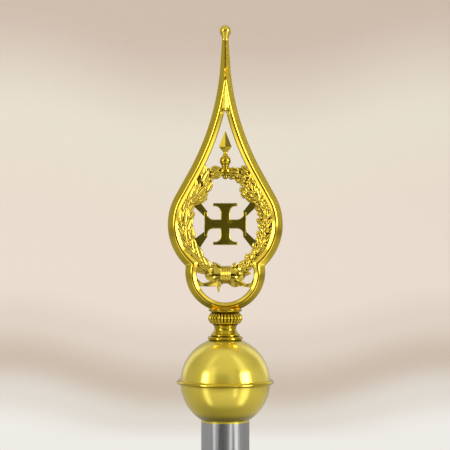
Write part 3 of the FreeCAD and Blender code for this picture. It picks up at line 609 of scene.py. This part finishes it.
def opening_reach(angle):
    """How far the wreath's opening reaches from its centre; leaves narrow its upper corners."""
    oval = 1 / math.hypot(math.cos(angle) / OPENING_HALF_WIDTH, math.sin(angle) / OPENING_HALF_HEIGHT)
    narrowing = NARROWING * math.exp(-((math.degrees(angle) - NARROWING_ANGLE) / NARROWING_SPREAD) ** 2)
    return oval * (1 - narrowing)


def wreath_reach(angle):
    """How far the wreath reaches from its centre: to the frame, to its flat top or to its lower edge."""
    reach = opening_reach(angle) + 4
    while reach < 60:
        x, z = reach * math.cos(angle), reach * math.sin(angle)
        if z > WREATH_TOP - 0.02 * x or x > np.interp(z + WREATH_RISE, EDGE_HEIGHTS, EDGE_WIDTHS):
            break
        if z < LOWER_START and math.hypot(x / LOWER_HALF_WIDTH, z / WREATH_BOTTOM) > 1:
            break
        reach += 0.2
    return reach


def wreath_point(angle, share):
    """(x, z above the waist) in the wreath's right half; share runs from the opening to the outer edge."""
    inner, outer = opening_reach(angle), wreath_reach(angle)
    reach = inner + (outer - inner) * share
    return reach * math.cos(angle), WREATH_RISE + reach * math.sin(angle)


LAUREL_LEAF = (14.5, 5.2, 1, 0.0)  # length, width, lobes and how deep they are cut
OAK_LEAF = (8.5, 5.2, 2, 0.4)


def leaf_sheet(length, width, rise, lobes, lobe_depth, curl):
    """Upper and lower sheets of a leaf that lies along +X and faces -Y, with a midrib."""
    along, across = np.meshgrid(np.linspace(0, 1, 15), np.linspace(-1, 1, 11), indexing="ij")
    swell = np.sin(np.pi * along ** 0.85) ** 0.8
    notch = 1 - lobe_depth * (0.5 + 0.5 * np.cos(2 * np.pi * lobes * along)) * (along > 0.04)
    half = width / 2 * swell * notch + 0.1
    arch = rise * (0.3 + 0.7 * np.sqrt(np.clip(1 - across ** 2, 0, 1))) * (0.3 + 0.7 * swell)
    groove = 0.5 * rise * np.exp(-(across / 0.22) ** 2) * swell
    height = arch - groove + curl * along ** 2
    upper = np.stack([length * along, -height, half * across], axis=2)
    lower = np.stack([length * along, 0.5 - curl * along ** 2, half * across * 0.96], axis=2)
    return upper, lower


def add_leaf(bm, sheets, x, z, lift, direction, side, face):
    """Places one leaf; side -1 mirrors it to the left, face -1 puts it on the back."""
    turn = np.array([[math.cos(direction), 0, -math.sin(direction)], [0, 1, 0],
                     [math.sin(direction), 0, math.cos(direction)]])
    placed = []
    for sheet in sheets:
        points = sheet @ turn.T + np.array([x, -lift, z])
        placed.append(points * np.array([side, face, 1]) + np.array([0, 0, WAIST_Z]))
    upper, lower = placed
    vertices = add_grid(bm, np.concatenate([upper, lower[:, ::-1]], axis=1), wrap_columns=True)
    bm.faces.new(vertices[0])
    bm.faces.new(vertices[-1][::-1])


def wreath_bed(bm, side, dice):
    """Uneven bed under the leaves, from the opening to the frame."""
    sections = []
    for degree in np.arange(-86, 90.1, 1.5):
        angle = math.radians(min(degree, 90))
        ragged = dice.uniform(0.0, 0.1)
        section = []
        outer = 0.99 if degree < FLAT_TOP_ANGLE else 0.88 + ragged
        for number, (share, depth) in enumerate([*BED_SECTION, (outer, 1.0)]):
            x, z = wreath_point(angle, share + (ragged if number < 2 else 0))
            section.append((max(x, 0) * side, -depth - dice.uniform(-0.25, 0.25), z + WAIST_Z))
        sections.append(section + [(x, -y, z) for x, y, z in reversed(section)])
    vertices = add_grid(bm, np.array(sections), wrap_columns=True)
    bm.faces.new(vertices[0])
    bm.faces.new(vertices[-1][::-1])


def branch(name, node, side, steps, spacing, leaf, splay, seed):
    """Half of the wreath: a bed with overlapping leaves on the front and the back.

    Leaves stand in lanes this spacing apart and lean out by up to the splay; towards the flat top they lean
    less, and long ones get shorter."""
    length, width, lobes, lobe_depth = leaf
    dice = random.Random(seed)
    bm = bmesh.new()
    wreath_bed(bm, side, dice)
    for step in range(steps):
        angle = math.radians(-80 + 160 * step / (steps - 1))
        inner, outer = opening_reach(angle), wreath_reach(angle)
        lanes = max(2, math.ceil((outer - inner) / spacing))
        ahead = wreath_point(angle + 0.05, 0.5)
        behind = wreath_point(angle - 0.05, 0.5)
        heading = math.atan2(ahead[1] - behind[1], ahead[0] - behind[0])
        near_top = np.interp(angle, (0.6, 1.2), (0.0, 1.0))
        size = 1 - TOP_SHRINK * near_top if length > LONG_LEAF else 1
        for lane in range(lanes):
            share = (lane + 0.5 + (0.18 if step % 2 else -0.18)) / lanes
            x, z = wreath_point(angle + dice.uniform(-0.02, 0.02), share)
            scale = dice.uniform(0.85, 1.12)
            rise, curl = 1.5 * dice.uniform(0.8, 1.2), dice.uniform(0.3, 0.9)
            sheets = leaf_sheet(length * size * scale, width * scale, rise, lobes, lobe_depth, curl)
            lean = splay * (2 * share - 1) * (1 - (1 - TOP_SPLAY) * near_top) + dice.uniform(-9, 9)
            direction = heading - math.radians(lean)
            lift = 1.5 + 0.5 * math.sin(math.pi * share) + dice.uniform(-0.15, 0.35)
            start_x = x - math.cos(direction) * length * size / 2
            start_z = z - math.sin(direction) * length * size / 2
            for face in (1, -1):
                add_leaf(bm, sheets, start_x, start_z, lift, direction, side, face)
    add_piece(name, bm, "head", GILT, (node,), sharp_angle=55, merge=0.0005)


def put_faces_in_order(bm):
    """Sorts the faces by their vertices, as Blender adds a sphere's faces in an order that varies by run."""
    bm.verts.index_update()
    faces = sorted(bm.faces, key=lambda face: [vertex.index for vertex in face.verts])
    for number, face in enumerate(faces):
        face.index = number
    bm.faces.sort()


def berries(name, side, count, seed, inner_share):
    """Acorns and berries among the leaves."""
    dice = random.Random(seed)
    bm = bmesh.new()
    for step in range(count):
        angle = math.radians(-82 + 164 * (step + dice.uniform(0.1, 0.9)) / count)
        x, z = wreath_point(angle, inner_share if step % 2 else dice.uniform(0.3, 0.95))
        radius = dice.uniform(0.9, 1.4)
        for face in (1, -1):
            place = Matrix.Translation((x * side, -2.9 * face, z + WAIST_Z)) @ Matrix.Scale(radius, 4)
            bmesh.ops.create_uvsphere(bm, u_segments=16, v_segments=10, radius=1.0, matrix=place)
    put_faces_in_order(bm)
    add_piece(name, bm, "head", GILT, merge=0.0005)


# ---------------------------------------------------------------- emblem and its webs

def cross_outline():
    """Cross with slab ends and round brackets under them."""
    half, arm, slab, bracket = EMBLEM_HALF, 3.3, 8.8, 4.4
    under = half - 2.3
    quarter = [(slab, half), (slab, under)]
    for share in np.linspace(0, 1, 9):
        turn = share * math.pi / 2
        quarter.append((arm + bracket * (1 - math.sin(turn)) * 0.95, under - bracket * (1 - math.cos(turn))))
    quarter.append((arm, arm))
    mirrored = [(z, x) for x, z in reversed(quarter[:-1])]
    quarter = quarter + mirrored
    outline = []
    for turn in range(4):
        angle = -turn * math.pi / 2
        along, square = math.cos(angle), math.sin(angle)
        outline += [(x * along - z * square, x * square + z * along) for x, z in quarter]
    return outline


def emblem():
    """The cross and the four webs that hold it; the web at the lower left is wider."""
    depth = box_mm("emblem_cross")[1].y * 2
    bm = plate(cross_outline(), depth, 0.75, 4)
    add_piece("gilt_emblem_cross", lifted(bm, EMBLEM_Z), "head", GILT_EMBLEM_SHADED,
              ("emblem_cross",), sharp_angle=30)
    for number, (side, up) in enumerate(((1, 1), (-1, 1), (-1, -1), (1, -1))):
        wide = 1.6 if side < 0 and up < 0 else 0.0
        outline = [(13.4, 5.9), (15.2, 5.6), (22.4, 12.4 - wide), (19.4, 17.4 + wide), (12.9, 9.0)]
        bm = plate([(x * side, z * up) for x, z in outline], 3.0, 0.4, 3)
        add_piece("gilt_emblem_web_%d" % (number + 1), lifted(bm, EMBLEM_Z), "head", GILT_EMBLEM_SHADED,
                  ("emblem_webs",) if number == 0 else (), sharp_angle=30)


# ---------------------------------------------------------------- ribbon

RIBBON_THICKNESS, RIBBON_STEPS = 0.9, 24
RIBBON_EDGE = ((-1, 0), (-0.94, -0.42), (-0.5, -0.5), (0, -0.56), (0.5, -0.5), (0.94, -0.42),
               (1, 0), (0.94, 0.42), (0.5, 0.5), (0, 0.44), (-0.5, 0.5), (-0.94, 0.42))


def strip(bm, path, widths, thickness, tilts):
    """Adds a flat ribbon along a path; its width turns about the path by the tilt given in degrees."""
    rows = []
    path = np.array(path, float)
    for number, point in enumerate(path):
        ahead, behind = path[min(number + 1, len(path) - 1)], path[max(number - 1, 0)]
        forward = (ahead - behind) / np.linalg.norm(ahead - behind)
        side = np.cross(forward, (0, 1, 0))
        side /= np.linalg.norm(side)
        face = np.cross(side, forward)
        tilt = math.radians(tilts[number])
        wide = side * math.cos(tilt) + face * math.sin(tilt)
        thick = np.cross(forward, wide)
        half = widths[number] / 2
        rows.append([point + wide * half * across + thick * thickness * deep for across, deep in RIBBON_EDGE])
    vertices = add_grid(bm, np.array(rows), wrap_columns=True)
    bm.faces.new(vertices[0])
    bm.faces.new(vertices[-1][::-1])


def curve_through(points):
    """Smooth path through a few points, and where along it they lie."""
    points = np.array(points, float)
    knots = np.linspace(0, 1, len(points))
    result = []
    for t in np.linspace(0, 1, RIBBON_STEPS):
        segment = min(int(t * (len(points) - 1)), len(points) - 2)
        local = t * (len(points) - 1) - segment
        before = points[max(segment - 1, 0)]
        start, end = points[segment], points[segment + 1]
        after = points[min(segment + 2, len(points) - 1)]
        result.append(0.5 * (2 * start + (end - before) * local
                             + (2 * before - 5 * start + 4 * end - after) * local ** 2
                             + (3 * start - before - 3 * end + after) * local ** 3))
    return np.array(result), knots


def ribbon(bm, points, widths, tilts):
    """A ribbon through points given above the waist, with its width and tilt at each of them."""
    path, knots = curve_through([(x, y, z + WAIST_Z) for x, y, z in points])
    along = np.linspace(0, 1, len(path))
    strip(bm, path, np.interp(along, knots, widths), RIBBON_THICKNESS, np.interp(along, knots, tilts))


def bow():
    """Two ribbons that leave the knot for the frame, with a hanging tail, thin cords and two loops."""
    bm = bmesh.new()
    for face in (-1, 1):
        ribbon(bm, [(-1.0, 3.6 * face, -10.0), (-5.6, 3.4 * face, -11.9), (-9.6, 2.6 * face, -13.2),
                    (-14.2, 1.8 * face, -13.9), (-18.4, 1.6 * face, -13.4), (-22.4, 1.2 * face, -10.6)],
               (4.4, 6.6, 3.9, 2.3, 3.2, 5.4), (0, 22 * face, 12 * face, 0, -20 * face, -10 * face))
        ribbon(bm, [(-3.2, 3.9 * face, -10.5), (-4.4, 3.7 * face, -13.6), (-4.9, 2.8 * face, -19.3)],
               (3.6, 3.4, 0.5), (0, 25 * face, 35 * face))
        ribbon(bm, [(2.6, 3.6 * face, -10.6), (6.6, 3.4 * face, -12.4), (10.6, 2.6 * face, -12.9),
                    (15.0, 1.8 * face, -14.4), (19.4, 1.6 * face, -14.0), (22.0, 1.2 * face, -11.4)],
               (4.2, 7.0, 4.2, 2.1, 3.6, 5.2), (0, -22 * face, -12 * face, 0, 20 * face, 10 * face))
        ribbon(bm, [(3.4, 4.2 * face, -8.6), (7.0, 4.3 * face, -9.4), (10.6, 3.4 * face, -11.2),
                    (15.2, 2.2 * face, -13.6)], (1.6, 1.5, 1.3, 0.9), (0, 0, 0, 0))
        ribbon(bm, [(-3.0, 4.2 * face, -8.2), (-6.8, 4.3 * face, -9.6), (-10.0, 3.4 * face, -11.8),
                    (-15.0, 2.2 * face, -12.9)], (1.6, 1.5, 1.3, 0.9), (0, 0, 0, 0))
        for side in (-1, 1):
            ribbon(bm, [(2.4 * side, 4.2 * face, -4.2), (6.2 * side, 4.6 * face, -3.6),
                        (10.6 * side, 3.8 * face, -4.4), (12.6 * side, 2.8 * face, -7.0),
                        (9.8 * side, 3.0 * face, -9.6), (5.6 * side, 3.6 * face, -9.4),
                        (2.4 * side, 3.6 * face, -8.2)], (3.4, 4.4, 4.8, 4.6, 4.6, 4.2, 3.2),
                   (0, 25 * face * side, -20 * face * side, 15 * face * side, 30 * face * side,
                    -20 * face * side, 0))
    add_piece("gilt_ribbon_bow", bm, "head", GILT, ("ribbon_bow",), sharp_angle=50)


def knot():
    """Six turns of cord round a core."""
    turns, first_across, turn_spacing = 6, -2.9, 1.22
    bm = bmesh.new()
    for turn in range(turns):
        across = first_across + turn_spacing * turn
        loop = []
        for angle in np.linspace(0, 2 * math.pi, 40, endpoint=False):
            deep, high = math.cos(angle), math.sin(angle)
            loop.append((across + 0.25 * high, 4.7 * deep, -6.7 + 5.9 * high + WAIST_Z))
        closed_tube(bm, loop, 0.72, 10, (1, 0, 0))
    core = [(0, 0), (4.4, 0), (4.4, 6.6), (0, 6.6)]
    inner = turned(soften(core, 0.8, 3), 48)
    spin = Matrix.Translation((-3.1, 0, WAIST_Z - 6.6)) @ Matrix.Rotation(math.pi / 2, 4, "Y")
    bmesh.ops.transform(inner, matrix=spin, verts=inner.verts)
    joined = bpy.data.meshes.new("core")
    inner.to_mesh(joined)
    inner.free()
    bm.from_mesh(joined)
    add_piece("gilt_ribbon_knot", bm, "head", GILT, ("ribbon_knot",), sharp_angle=50)


# ---------------------------------------------------------------- stage, light and camera

FLOOR_RADIUS, FLOOR_CURVE, WALL_HEIGHT = 620, 260, 2400
CAMERA_DISTANCE, CAMERA_RISE, CAMERA_ACROSS, CAMERA_ANGLE = 1.220, 113.7, -0.0002, 15.23


def bowl():
    """Pale floor that sweeps up into a wall all round; the wall is clear when seen from outside."""
    profile = [(0.0, 0.0)] + [(r, 0.0) for r in np.linspace(60, FLOOR_RADIUS, 14)]
    profile += arc(FLOOR_RADIUS, FLOOR_CURVE, FLOOR_CURVE, -88, 0, 24)
    profile += [(FLOOR_RADIUS + FLOOR_CURVE, z) for z in np.linspace(FLOOR_CURVE + 60, WALL_HEIGHT, 12)]
    bm = turned(profile, 96, closed=False)
    bmesh.ops.remove_doubles(bm, verts=bm.verts, dist=0.01)
    for face in list(bm.faces):
        centre = face.calc_center_median()
        inward = Vector((-centre.x, -centre.y, FLOOR_RADIUS))
        if face.normal.dot(inward) < 0:
            face.normal_flip()
        face.smooth = True
    bmesh.ops.scale(bm, vec=(MM, MM, MM), verts=bm.verts)
    mesh = bpy.data.meshes.new("stage_bowl")
    bm.to_mesh(mesh)
    bm.free()
    stage = bpy.data.objects.new("stage_bowl", mesh)
    stage.location.z = -0.0005
    bpy.context.scene.collection.objects.link(stage)
    stage.data.materials.append(stage_material())
    stage.visible_glossy = False
    stage.visible_diffuse = False
    stage.visible_shadow = False


def stage_material():
    """Pale cloth that glows with painted light, with a painted band of shade where floor meets wall, set back
    behind the middle.
    """
    material, graph = new_material("stage_pale")
    place = graph.node("ShaderNodeTexCoord").outputs["Object"]
    parts = graph.node("ShaderNodeSeparateXYZ", {"Vector": place})
    beside = graph.math("ABSOLUTE", parts.outputs["X"])
    middle = graph.span(beside, 0.07, 0.26, 0.037, 0.0)
    shift = graph.math("MULTIPLY", middle, graph.span(parts.outputs["Y"], 0.45, 0.75))
    share = graph.span(graph.math("ADD", parts.outputs["Z"], shift), 0.0, 0.6, smooth=False)
    colour = graph.ramp(share, [(0.0, (0.87, 0.85, 0.805)), (0.055, (0.74, 0.69, 0.62)),
                                (0.115, (0.60, 0.50, 0.41)), (0.185, (0.73, 0.635, 0.545)),
                                (0.26, (0.80, 0.70, 0.61)), (0.40, (0.80, 0.695, 0.60)),
                                (0.59, (0.79, 0.725, 0.61)), (0.84, (0.61, 0.495, 0.41))], "EASE")
    cloth = graph.noise(260.0, 2.0, place)
    flecked = graph.node("ShaderNodeMix", {0: 0.03, 6: colour, 7: cloth}, data_type="RGBA",
                         blend_type="MIX").outputs[2]
    # Painted light: the cloth glows with its painted gradient of light and shade.
    painted_glow = graph.node("ShaderNodeEmission", {"Color": flecked, "Strength": 0.86})
    dimmed = graph.node("ShaderNodeMix", {0: 0.8, 6: flecked, 7: (0, 0, 0, 1)}, data_type="RGBA").outputs[2]
    matt = graph.node("ShaderNodeBsdfDiffuse", {"Color": dimmed})
    lit = graph.node("ShaderNodeAddShader", {0: painted_glow.outputs[0], 1: matt.outputs[0]})
    clear = graph.node("ShaderNodeBsdfTransparent")
    outside = graph.node("ShaderNodeNewGeometry").outputs["Backfacing"]
    mixed = graph.node("ShaderNodeMixShader", {0: outside, 1: lit.outputs[0], 2: clear.outputs[0]})
    graph.node("ShaderNodeOutputMaterial", {"Surface": mixed.outputs[0]})
    return material


def panel(graph, azimuth, elevation, sides, heights, soft, strength):
    """A soft-edged light panel on the sky: limits in degrees, its brightness as a socket."""
    value = None
    for angle, (low, high) in ((azimuth, sides), (elevation, heights)):
        rising = graph.span(angle, low - soft, low + soft)
        falling = graph.span(angle, high - soft, high + soft, 1.0, 0.0)
        both = graph.math("MULTIPLY", rising, falling)
        value = both if value is None else graph.math("MULTIPLY", value, both)
    return graph.math("MULTIPLY", value, strength)


# Each row: azimuth limits, elevation limits, softness of the edge, strength or share. Degrees, azimuth 0
# is towards the camera and grows to the right. Panels add light and flags take away a share of it.
PANELS = (
    ((-46, 46), (-62, -18), 9.0, 0.22), ((-44, 44), (16, 50), 9.0, 0.12), ((-44, -28), (-6, 40), 5.0, 0.5),
    ((-60, -47), (-1, 24), 2.5, 6.0), ((44, 66), (-1, 24), 2.5, 7.5),
    ((-61, -46), (24, 70), 8.0, 0.5), ((44, 65), (24, 70), 8.0, 0.6),
    ((-61, -46), (-52, -2), 5.0, 1.1), ((44, 65), (-52, -2), 5.0, 1.2), ((23, 31), (-34, -3), 4.0, 0.9),
    ((126, 150), (0, 45), 8.0, 0.45), ((-150, -126), (0, 45), 8.0, 0.5))
FLAGS = (
    ((-24, 12), (-15, 24), 7.0, 0.57), ((26, 42), (-2, 34), 4.0, 0.5), ((-42, -5), (-13, -4), 4.0, 0.75),
    ((-72, -42), (-13, -4), 4.0, 0.55), ((36, 72), (-13, -4), 4.0, 0.6), ((72, 190), (-13, -4), 4.0, 0.3),
    ((85, 130), (22, 80), 9.0, 0.35), ((-130, -95), (22, 80), 9.0, 0.2))


def studio():
    """Soft studio light all round, as the polished metal sees it."""
    world = bpy.data.worlds.new("studio")
    bpy.context.scene.world = world
    world.use_nodes = True
    graph = Graph(world.node_tree)
    way = graph.node("ShaderNodeTexCoord").outputs["Generated"]
    parts = graph.node("ShaderNodeSeparateXYZ", {"Vector": way})
    toward = graph.math("MULTIPLY", parts.outputs["Y"], -1.0)
    azimuth = graph.math("DEGREES", graph.math("ARCTAN2", parts.outputs["X"], toward))
    elevation = graph.math("DEGREES", graph.math("ARCSINE", parts.outputs["Z"]))
    base = graph.span(elevation, -75.0, -20.0, 0.12, 0.40)
    above = graph.span(elevation, 25.0, 80.0, 0.0, 0.28)
    right_side = graph.span(azimuth, 40.0, 90.0, 0.0, 0.05)
    level = graph.math("ADD", graph.math("ADD", base, above), right_side)
    for sides, heights, soft, strength in PANELS:
        level = graph.math("ADD", level, panel(graph, azimuth, elevation, sides, heights, soft, strength))
    for sides, heights, soft, share in FLAGS:
        flag = panel(graph, azimuth, elevation, sides, heights, soft, share)
        level = graph.math("MULTIPLY", level, graph.math("SUBTRACT", 1.0, flag))
    tint = graph.multiply((1.0, 0.985, 0.96, 1.0), level)
    sky = graph.node("ShaderNodeBackground", {"Color": tint, "Strength": 1.0})
    graph.node("ShaderNodeOutputWorld", {"Surface": sky.outputs[0]})


def camera():
    """Level camera in front of the head, as high as the middle of the wreath."""
    lens = bpy.data.cameras.new("camera")
    lens.sensor_fit = "HORIZONTAL"
    lens.angle = math.radians(CAMERA_ANGLE)
    lens.clip_start = 0.01
    eye = bpy.data.objects.new("camera", lens)
    bpy.context.scene.collection.objects.link(eye)
    eye.location = (CAMERA_ACROSS, -CAMERA_DISTANCE, (BALL_Z + CAMERA_RISE) * MM)
    eye.rotation_euler = (math.pi / 2, 0, 0)
    bpy.context.scene.camera = eye
    bpy.context.scene.view_settings.view_transform = "Standard"


def finish_cad_nodes():
    """CAD nodes that stay in view get their metals."""
    metals = {"silver_sleeve": SILVER, "zinc_steel": STEEL, "gilt_ball": GILT_BALL, "gilt_casting": GILT,
              "gilt_emblem": GILT_EMBLEM_SHADED}
    slots = {part["node"]: part["material_slot"] for part in frame["record"]["subparts"]}
    for name, node in frame["nodes"].items():
        node.data.materials.clear()
        node.data.materials.append(metals[slots[name]])


spear_frame()
frame_foot()
apex_knob()
ball()
neck()
tie_rod()
spear_tip()
branch("gilt_laurel_branch", "laurel_branch", side=-1, steps=12, spacing=4.4, leaf=LAUREL_LEAF, splay=34,
       seed=3)
branch("gilt_oak_branch", "oak_branch", side=1, steps=17, spacing=4.2, leaf=OAK_LEAF, splay=55, seed=5)
berries("gilt_laurel_berries", side=-1, count=12, seed=11, inner_share=0.5)
berries("gilt_oak_acorns", side=1, count=44, seed=7, inner_share=0.12)
emblem()
bow()
knot()
finish_cad_nodes()
bowl()
studio()
camera()
